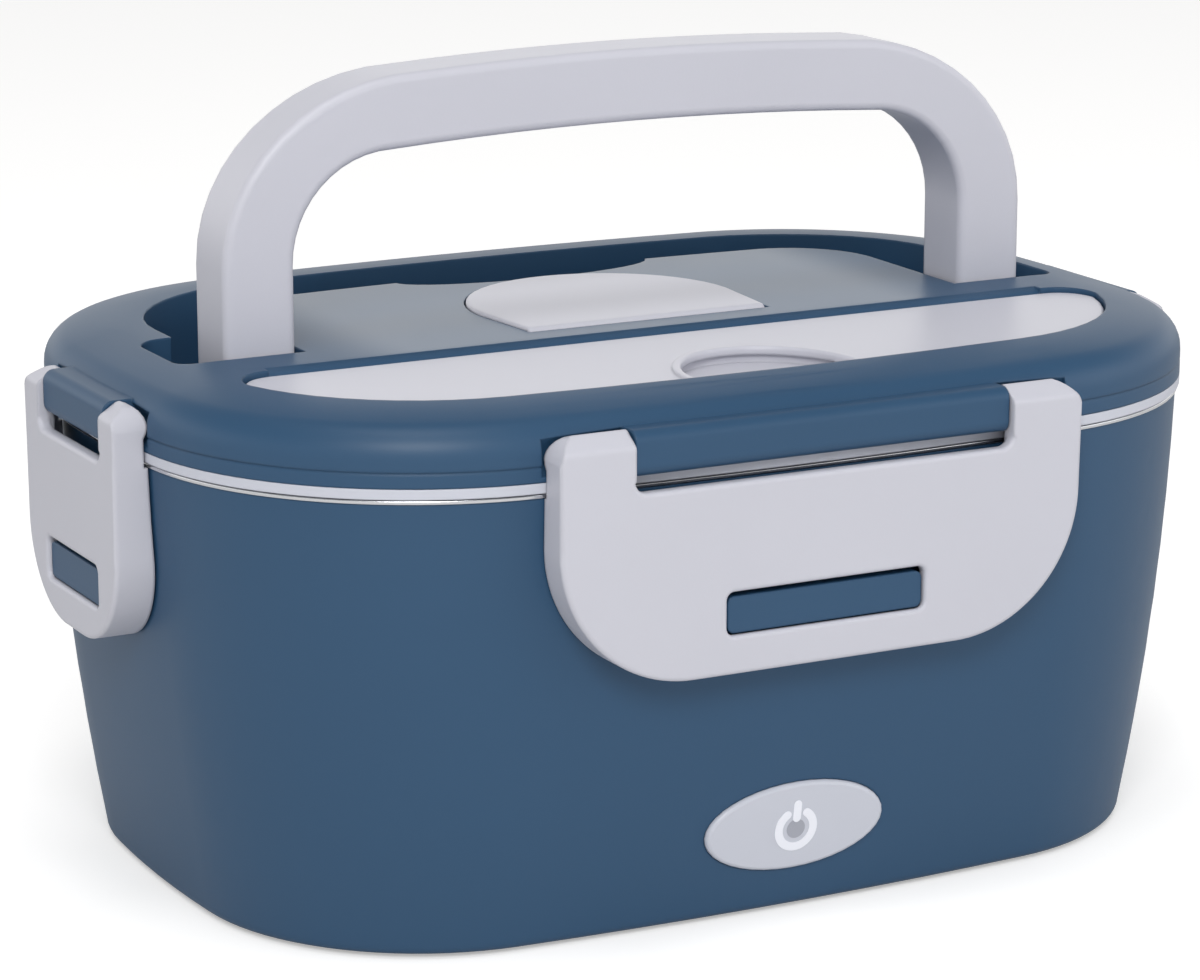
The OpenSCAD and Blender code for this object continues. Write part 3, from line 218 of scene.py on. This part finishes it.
def join_flat_faces(made):
    """Joins the triangles of each flat face, and leaves only its best bridges where it has holes."""
    limit = math.radians(FLAT_WITHIN_DEG)
    ranked = []
    for edge in made.edges:
        if len(edge.link_faces) != 2 or edge.calc_face_angle(NO_ANGLE) > limit:
            continue
        worst = math.pi
        for vertex in edge.verts:
            along = edge.other_vert(vertex).co - vertex.co
            for other in vertex.link_edges:
                shares_face = any(face in other.link_faces for face in edge.link_faces)
                if other is not edge and shares_face and other.calc_face_angle(NO_ANGLE) > limit:
                    beside = other.other_vert(vertex).co - vertex.co
                    worst = min(worst, along.angle(beside, math.pi))
        narrowness = math.sin(min(worst, math.pi / 2))
        ranked.append((narrowness / (SHORTEST_BRIDGE + edge.calc_length()), edge))
    ranked.sort(key=lambda entry: entry[0])
    for _, edge in ranked:
        if not edge.is_valid or len(edge.link_faces) != 2:
            continue
        first, second = edge.link_faces
        if first is second or first.normal.angle(second.normal, math.pi) > limit:
            continue
        if sum(1 for shared in first.edges if second in shared.link_faces) == 1:
            bmesh.utils.face_join([first, second])


SAMPLE_STEP = 0.4
SEARCH_REACH = 2.2
FACING = 0.7
OFF_PLANE = 0.3
ROOM_SHARE = 0.45
ROOM_GROWTH = 0.3
ROOM_PASSES = 6
COINCIDENT = 1e-5


def room_for_rounding(sharp, width):
    """How wide each sharp edge can be rounded before it meets another edge of the same face."""
    step = width * SAMPLE_STEP
    samples = []
    for edge in sharp:
        start, end = edge.verts[0].co, edge.verts[1].co
        count = max(1, int((end - start).length / step))
        samples += [start.lerp(end, (i + 0.5) / count) for i in range(count)]
    tree = KDTree(len(samples))
    for i, point in enumerate(samples):
        tree.insert(point, i)
    tree.balance()
    room = {}
    for edge in sharp:
        start, end = edge.verts[0].co, edge.verts[1].co
        along = (end - start).normalized()
        count = max(1, int((end - start).length / (2 * width)))
        best = width
        for face in edge.link_faces:
            inward = face.normal.cross(along)
            if inward.dot(face.calc_center_median() - start) < 0:
                inward.negate()
            for k in range(count):
                spot = start.lerp(end, (k + 0.5) / count)
                for point, _, distance in tree.find_range(spot, SEARCH_REACH * width):
                    away = point - spot
                    ahead = away.dot(inward) > FACING * distance
                    level = abs(away.dot(face.normal)) < OFF_PLANE * distance
                    if distance > COINCIDENT and ahead and level:
                        best = min(best, ROOM_SHARE * distance)
        room[edge] = best
    for _ in range(ROOM_PASSES):
        for edge in sharp:
            for vertex in edge.verts:
                for other in vertex.link_edges:
                    if other in room and other is not edge:
                        reach = (edge.calc_length() + other.calc_length()) / 2
                        room[edge] = min(room[edge], room[other] + ROOM_GROWTH * reach)
    return room


MERGE_WITHIN = 2e-6
SMOOTH_UNDER_DEG = 32.0


def moulded_copy(node, round_edges=None, width=0.0, segments=3):
    """A copy of a node's mesh with merged vertices, smooth shading and some edges rounded."""
    source = frame["nodes"][node]
    mesh = source.data.copy()
    mesh.name = node + "_dressed"
    mesh.materials.clear()
    made = bmesh.new()
    made.from_mesh(mesh)
    bmesh.ops.remove_doubles(made, verts=made.verts, dist=MERGE_WITHIN)
    made.normal_update()
    join_flat_faces(made)
    made.normal_update()
    weights = made.edges.layers.float.new("bevel_weight_edge")
    sharp = {}
    for edge in made.edges:
        if len(edge.link_faces) == 2:
            edge.smooth = math.degrees(edge.calc_face_angle(0.0)) < SMOOTH_UNDER_DEG
            if not edge.smooth:
                sharp[edge] = True
    if round_edges:
        room = room_for_rounding(sharp, width)
        for edge in sharp:
            middle = (edge.verts[0].co + edge.verts[1].co) / 2
            edge[weights] = min(round_edges(middle, edge), room[edge] / width)
    for face in made.faces:
        face.smooth = True
    made.to_mesh(mesh)
    made.free()
    piece = bpy.data.objects.new(node + "_dressed", mesh)
    scene.collection.objects.link(piece)
    if round_edges:
        bevel = piece.modifiers.new("rounded_edges", "BEVEL")
        bevel.limit_method = "WEIGHT"
        bevel.width = width
        bevel.segments = segments
        bevel.use_clamp_overlap = False
        bevel.miter_outer = "MITER_ARC"
    normals = piece.modifiers.new("even_normals", "WEIGHTED_NORMAL")
    normals.keep_sharp = True
    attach(piece, body_of(source)[0])
    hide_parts(node)
    return piece


def every_edge(middle, edge):
    """Rounds all of a piece's edges."""
    return 1.0


CLOUD_SCALE = 22.0
CLOUD_DETAIL = 3.0
GRAIN_DETAIL = 2.0
ROUGHNESS_DRIFT = 0.8


def moulded_grain_group():
    """Colour drift, roughness drift and a fine height for moulded plastic."""
    group = bpy.data.node_groups.new("moulded_grain", "ShaderNodeTree")
    for socket, kind, value in (
            ("Colour", "NodeSocketColor", (0.5, 0.5, 0.5, 1.0)), ("Drift", "NodeSocketFloat", 0.06),
            ("Roughness", "NodeSocketFloat", 0.4), ("Grain size", "NodeSocketFloat", 2600.0)):
        made = group.interface.new_socket(socket, in_out="INPUT", socket_type=kind)
        made.default_value = value
    for socket, kind in (
            ("Colour", "NodeSocketColor"), ("Roughness", "NodeSocketFloat"), ("Height", "NodeSocketFloat")):
        group.interface.new_socket(socket, in_out="OUTPUT", socket_type=kind)
    nodes, links = group.nodes, group.links
    given = nodes.new("NodeGroupInput")
    out = nodes.new("NodeGroupOutput")
    place = nodes.new("ShaderNodeTexCoord")
    cloud = nodes.new("ShaderNodeTexNoise")
    cloud.inputs["Scale"].default_value = CLOUD_SCALE
    cloud.inputs["Detail"].default_value = CLOUD_DETAIL
    grain = nodes.new("ShaderNodeTexNoise")
    grain.inputs["Detail"].default_value = GRAIN_DETAIL
    links.new(place.outputs["Object"], cloud.inputs["Vector"])
    links.new(place.outputs["Object"], grain.inputs["Vector"])
    links.new(given.outputs["Grain size"], grain.inputs["Scale"])
    centred = maths(group, "SUBTRACT", cloud.outputs["Fac"], 0.5)
    swing = maths(group, "MULTIPLY", centred, given.outputs["Drift"])
    gain = maths(group, "ADD", swing, 1.0)
    shade = nodes.new("ShaderNodeHueSaturation")
    links.new(gain, shade.inputs["Value"])
    links.new(given.outputs["Colour"], shade.inputs["Color"])
    links.new(shade.outputs["Color"], out.inputs["Colour"])
    rough = maths(group, "MULTIPLY_ADD", swing, ROUGHNESS_DRIFT, given.outputs["Roughness"])
    links.new(rough, out.inputs["Roughness"])
    links.new(grain.outputs["Fac"], out.inputs["Height"])
    return group


moulded_grain = moulded_grain_group()
RELIEF_DEPTH = 0.0002
SOFT_SAMPLES = 6


def plastic(name, colour, roughness, bump=0.06, drift=0.06, grain=2600.0, specular=0.5, soft_edge=0.0):
    """A moulded plastic with the shared grain, and softly lit edges where a radius is given."""
    paint = bpy.data.materials.new(name)
    paint.use_nodes = True
    tree = paint.node_tree
    shader = tree.nodes["Principled BSDF"]
    shader.inputs["Specular IOR Level"].default_value = specular
    grained = tree.nodes.new("ShaderNodeGroup")
    grained.node_tree = moulded_grain
    grained.inputs["Colour"].default_value = (*colour, 1.0)
    grained.inputs["Roughness"].default_value = roughness
    grained.inputs["Drift"].default_value = drift
    grained.inputs["Grain size"].default_value = grain
    relief = tree.nodes.new("ShaderNodeBump")
    relief.inputs["Strength"].default_value = bump
    relief.inputs["Distance"].default_value = RELIEF_DEPTH
    if soft_edge:
        softened = tree.nodes.new("ShaderNodeBevel")
        softened.samples = SOFT_SAMPLES
        softened.inputs["Radius"].default_value = soft_edge
        tree.links.new(softened.outputs["Normal"], relief.inputs["Normal"])
    tree.links.new(grained.outputs["Colour"], shader.inputs["Base Color"])
    tree.links.new(grained.outputs["Roughness"], shader.inputs["Roughness"])
    tree.links.new(grained.outputs["Height"], relief.inputs["Height"])
    tree.links.new(relief.outputs["Normal"], shader.inputs["Normal"])
    return paint


def finish_with(piece, paint):
    """Gives a piece its material, in place of any it had."""
    piece.data.materials.clear()
    piece.data.materials.append(paint)


BLUE = (0.023, 0.073, 0.148)
PANEL_HALF = 0.0775
PANEL_FADE = 0.0220
PANEL_BACK = 0.0470
POLISHED_FROM = 0.1122
POLISH = -0.12
blue_plastic = plastic("blue_plastic", BLUE, 0.45, specular=0.42, soft_edge=0.0007)


def polished_panel(paint, change):
    """Lowers a paint's roughness on the panel inside the handle's channel, fading to its sides."""
    tree = paint.node_tree
    place = tree.nodes.new("ShaderNodeTexCoord")
    parts = tree.nodes.new("ShaderNodeSeparateXYZ")
    tree.links.new(place.outputs["Object"], parts.inputs[0])
    across = maths(tree, "ABSOLUTE", parts.outputs["X"])
    fading = smooth_range(tree, across, PANEL_HALF - PANEL_FADE, PANEL_HALF, 1.0, 0.0)
    above = maths(tree, "GREATER_THAN", parts.outputs["Z"], POLISHED_FROM)
    before = maths(tree, "LESS_THAN", parts.outputs["Y"], PANEL_BACK)
    mask = maths(tree, "MULTIPLY", maths(tree, "MULTIPLY", fading, above), before)
    shader = tree.nodes["Principled BSDF"]
    rough = shader.inputs["Roughness"].links[0].from_socket
    smoother = maths(tree, "MULTIPLY_ADD", mask, change, rough)
    tree.links.new(smoother, shader.inputs["Roughness"])


polished_panel(blue_plastic, POLISH)
finish_with(moulded_copy("base_casing"), blue_plastic)

# ---- Bottom cover, feet and screws ----
# A darker plate let in under the casing on six screws, with four soft rubber feet.
FOOT_EDGE = 0.0003
dark_plastic = plastic("dark_plastic", (0.03, 0.055, 0.09), 0.55)
finish_with(moulded_copy("bottom_cover"), dark_plastic)
rubber = plastic("foot_rubber", (0.014, 0.014, 0.016), 0.75, bump=0.15, grain=1800.0)
finish_with(moulded_copy("rubber_feet", every_edge, width=FOOT_EDGE), rubber)

METAL_GRAIN_SCALE = 900.0
METAL_GRAIN_DETAIL = 3.0
METAL_RELIEF_DEPTH = 0.0001
SMOOTHEST = 0.8
ROUGHEST = 1.25


def metal(name, colour, roughness, relief_strength=0.0):
    """A bare metal whose roughness and height vary finely."""
    paint = bpy.data.materials.new(name)
    paint.use_nodes = True
    tree = paint.node_tree
    shader = tree.nodes["Principled BSDF"]
    shader.inputs["Metallic"].default_value = 1.0
    shader.inputs["Base Color"].default_value = (*colour, 1.0)
    place = tree.nodes.new("ShaderNodeTexCoord")
    grain = tree.nodes.new("ShaderNodeTexNoise")
    grain.inputs["Scale"].default_value = METAL_GRAIN_SCALE
    grain.inputs["Detail"].default_value = METAL_GRAIN_DETAIL
    spread = tree.nodes.new("ShaderNodeMapRange")
    spread.inputs["To Min"].default_value = roughness * SMOOTHEST
    spread.inputs["To Max"].default_value = roughness * ROUGHEST
    relief = tree.nodes.new("ShaderNodeBump")
    relief.inputs["Strength"].default_value = relief_strength
    relief.inputs["Distance"].default_value = METAL_RELIEF_DEPTH
    tree.links.new(place.outputs["Object"], grain.inputs["Vector"])
    tree.links.new(grain.outputs["Fac"], spread.inputs["Value"])
    tree.links.new(spread.outputs["Result"], shader.inputs["Roughness"])
    tree.links.new(grain.outputs["Fac"], relief.inputs["Height"])
    tree.links.new(relief.outputs["Normal"], shader.inputs["Normal"])
    return paint


screw_steel = metal("screw_steel", (0.5, 0.5, 0.52), 0.35)
for name in ("bottom_screws", "liner_screws", "bracket_screws"):
    finish_with(moulded_copy(name), screw_steel)

# ---- Heating parts ----
# Drawn aluminium well, cast heater plate, and the parts pressed under it.
well_sheet = metal("well_sheet", (0.62, 0.63, 0.65), 0.4, 0.1)
finish_with(moulded_copy("heating_well"), well_sheet)
cast_plate = metal("cast_plate", (0.55, 0.56, 0.58), 0.5, 0.3)
finish_with(moulded_copy("heater_plate"), cast_plate)
ceramic = plastic("ceramic", (0.68, 0.64, 0.55), 0.7)
finish_with(moulded_copy("heating_element"), ceramic)
finish_with(moulded_copy("element_bracket"), screw_steel)
brass_can = metal("brass_can", (0.6, 0.48, 0.26), 0.35)
finish_with(moulded_copy("thermostat"), brass_can)
fuse_sleeve = plastic("fuse_sleeve", (0.7, 0.7, 0.66), 0.6)
finish_with(moulded_copy("thermal_fuse"), fuse_sleeve)
board_green = plastic("board_green", (0.03, 0.15, 0.06), 0.35)
finish_with(moulded_copy("led_board"), board_green)
led_resin = plastic("led_resin", (0.8, 0.78, 0.72), 0.15, bump=0.0)
finish_with(moulded_copy("status_leds"), led_resin)

# ---- Indicator lens and power symbol ----
# A frosted oval lens clipped in the front wall, with a printed generic power symbol.
lens_frost = plastic("lens_frost", (0.57, 0.585, 0.65), 0.33, bump=0.02, drift=0.03)
LENS_EDGE = 0.0008
LONGEST_RIM_EDGE = 0.02


def rim_edges(middle, edge):
    """The short edges of the oval's rim."""
    return 1.0 if edge.calc_length() < LONGEST_RIM_EDGE else 0.0


finish_with(moulded_copy("indicator_lens", rim_edges, width=LENS_EDGE), lens_frost)

RING_RADIUS = 0.0040
STROKE = 0.0018
RING_GAP_DEG = 34.0
RING_BELOW = 0.0005
BAR_LENGTH = 0.0048
BAR_TOP = 0.0058
INK_THICK = 0.00012
LAMP_SPOT = 0.0021
LAMP_SPOT_THICK = 0.00006
FACES_FRONT = -0.9
RING_STEPS = 64
ROUND_STEPS = 8
BAR_ROUND_STEPS = 12
SPOT_STEPS = 48
white_ink = plastic("white_ink", (0.86, 0.87, 0.93), 0.4, bump=0.0, drift=0.02)
lamp_grey = plastic("lamp_grey", (0.36, 0.37, 0.42), 0.45, bump=0.3, drift=0.5, grain=900.0)


def lens_plane():
    """Centre, upward and outward directions of the lens's flat front."""
    node = frame["nodes"]["indicator_lens"]
    outward = Vector((0, 0, 0))
    for face in node.data.polygons:
        if face.normal.y < FACES_FRONT:
            outward += face.normal * face.area
    outward.normalize()
    upward = outward.cross(Vector((1, 0, 0))).normalized()
    if upward.z < 0:
        upward.negate()
    front = max(outward.dot(vertex.co) for vertex in node.data.vertices)
    low, high = (Vector(corner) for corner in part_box("indicator_lens"))
    middle = (low + high) / 2
    centre = middle + outward * (front - outward.dot(middle))
    centre.x = 0.0
    return centre, upward, outward


def printed_shape(name, outline, paint, thick=INK_THICK):
    """A thin solid on the lens from an outline in the lens's plane."""
    centre, upward, outward = lens_plane()
    rightward = Vector((1, 0, 0))
    sunk = centre - outward * thick
    made = bmesh.new()
    back = [made.verts.new(sunk + rightward * x + upward * y) for x, y in outline]
    front = [made.verts.new(vertex.co + outward * (2 * thick)) for vertex in back]
    made.faces.new(back)
    made.faces.new(front)
    for i, vertex in enumerate(back):
        j = (i + 1) % len(back)
        made.faces.new((vertex, back[j], front[j], front[i]))
    bmesh.ops.recalc_face_normals(made, faces=made.faces)
    mesh = bpy.data.meshes.new(name)
    made.to_mesh(mesh)
    made.free()
    piece = bpy.data.objects.new(name, mesh)
    scene.collection.objects.link(piece)
    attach(piece, "base")
    finish_with(piece, paint)


def arc(centre, radius, start, end, steps):
    """Points along an arc, with both its ends."""
    angles = [start + (end - start) * i / steps for i in range(steps + 1)]
    return [(centre[0] + radius * math.cos(angle), centre[1] + radius * math.sin(angle)) for angle in angles]


def ring_outline(radius, stroke, gap_deg, below):
    """An open ring with its gap at the top and round ends."""
    start = math.radians(90 + gap_deg)
    end = math.radians(450 - gap_deg)
    centre = (0.0, -below)
    half = stroke / 2

    def round_end(at, turn):
        tip = (radius * math.cos(at), radius * math.sin(at) - below)
        return arc(tip, half, turn, turn + math.pi, ROUND_STEPS)[1:-1]

    return (arc(centre, radius + half, start, end, RING_STEPS) + round_end(end, end)
            + arc(centre, radius - half, end, start, RING_STEPS) + round_end(start, start + math.pi))


def bar_outline(width, length, top):
    """A bar with round ends."""
    half = width / 2
    return (arc((0.0, top - half), half, 0.0, math.pi, BAR_ROUND_STEPS)
            + arc((0.0, top - length + half), half, math.pi, 2 * math.pi, BAR_ROUND_STEPS))


printed_shape("power_ring", ring_outline(RING_RADIUS, STROKE, RING_GAP_DEG, RING_BELOW), white_ink)
printed_shape("power_bar", bar_outline(STROKE, BAR_LENGTH, BAR_TOP), white_ink)
spot = arc((0.0, -RING_BELOW), LAMP_SPOT, 0.0, 2 * math.pi, SPOT_STEPS)[:-1]
printed_shape("lamp_spot", spot, lamp_grey, thick=LAMP_SPOT_THICK)

# ---- Power inlet ----
# A black two-pin socket in the back wall for a removable cord.
black_plastic = plastic("black_plastic", (0.012, 0.012, 0.013), 0.5)
finish_with(moulded_copy("power_inlet"), black_plastic)
pin_brass = metal("pin_brass", (0.6, 0.45, 0.18), 0.25)
finish_with(moulded_copy("inlet_pins"), pin_brass)

# ---- Food container ----
# Deep-drawn stainless steel. The edge of its flange shows as a bright line at the seam.
FLANGE_EDGE = 0.0002
steel = metal("container_steel", (0.66, 0.67, 0.69), 0.22, 0.05)
finish_with(moulded_copy("food_container", every_edge, width=FLANGE_EDGE), steel)

# ---- Lid ----
# The same blue plastic, with a liner and a silicone seal under it.
SEAL_EDGE = 0.0003
finish_with(moulded_copy("lid_shell"), blue_plastic)
liner_plastic = plastic("liner_plastic", (0.6, 0.62, 0.66), 0.45)
finish_with(moulded_copy("lid_liner"), liner_plastic)
silicone = plastic("seal_silicone", (0.56, 0.575, 0.64), 0.55, bump=0.03)
finish_with(moulded_copy("lid_seal", every_edge, width=SEAL_EDGE), silicone)
finish_with(moulded_copy("vent_plug"), silicone)

# ---- Handle ----
# A grey arch, solid moulded, with all its edges rounded.
GREY = (0.555, 0.555, 0.612)
HANDLE_EDGE = 0.0016
grey_plastic = plastic("grey_plastic", GREY, 0.4, soft_edge=0.0009)
finish_with(
    moulded_copy("handle", every_edge, width=HANDLE_EDGE, segments=4), grey_plastic)

# ---- Covers ----
# The moulded cutlery cover with its finger scoop, which lifts off, and the vent flap on its pin.
COVER_TOP_FROM = 0.1110
FLAP_TOP_FROM = 0.1118
COVER_EDGE = 0.0006


def top_edges_from(height):
    """The convex edges above a height."""
    return lambda middle, edge: 1.0 if middle.z > height and edge.is_convex else 0.0


for name, top_from in (("cutlery_cover", COVER_TOP_FROM), ("vent_flap", FLAP_TOP_FROM)):
    finish_with(
        moulded_copy(name, top_edges_from(top_from), width=COVER_EDGE), grey_plastic)

# ---- Cutlery ----
# A stamped steel fork and spoon in the lid's bay.
CUTLERY_EDGE = 0.0003
cutlery_steel = metal("cutlery_steel", (0.68, 0.68, 0.7), 0.18, 0.03)
for name in ("fork", "spoon"):
    finish_with(moulded_copy(name, every_edge, width=CUTLERY_EDGE), cutlery_steel)

# ---- Pins ----
# Polished steel pins for the handle, the flap and the latches.
pin_steel = metal("pin_steel", (0.55, 0.55, 0.57), 0.25)
SIDES = ("front", "back", "left", "right")
for name in ("handle_pins", "vent_hinge_pin", *("latch_pin_" + side for side in SIDES)):
    finish_with(moulded_copy(name), pin_steel)

# ---- Latches ----
# Grey snap latches with a window over the catch and two arms round the lid's bar.
LATCH_EDGE = 0.0008
FACE_THICKNESS = 0.0012
ARM_BEND_FROM = 0.1008


def latch_outer_edges(low, high):
    """The edges of a latch's face, but not those of its hollow back or its arms' bends."""
    across = 0 if high.x - low.x < high.y - low.y else 1
    outer = max(abs(low[across]), abs(high[across])) - FACE_THICKNESS

    def outer_edges(middle, edge):
        on_face = abs(middle[across]) > outer and middle.z < ARM_BEND_FROM
        return 1.0 if edge.is_convex and on_face else 0.0

    return outer_edges


for side in SIDES:
    low, high = (Vector(corner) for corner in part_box("latch_" + side))
    edges = latch_outer_edges(low, high)
    finish_with(
        moulded_copy("latch_" + side, edges, width=LATCH_EDGE, segments=4), grey_plastic)
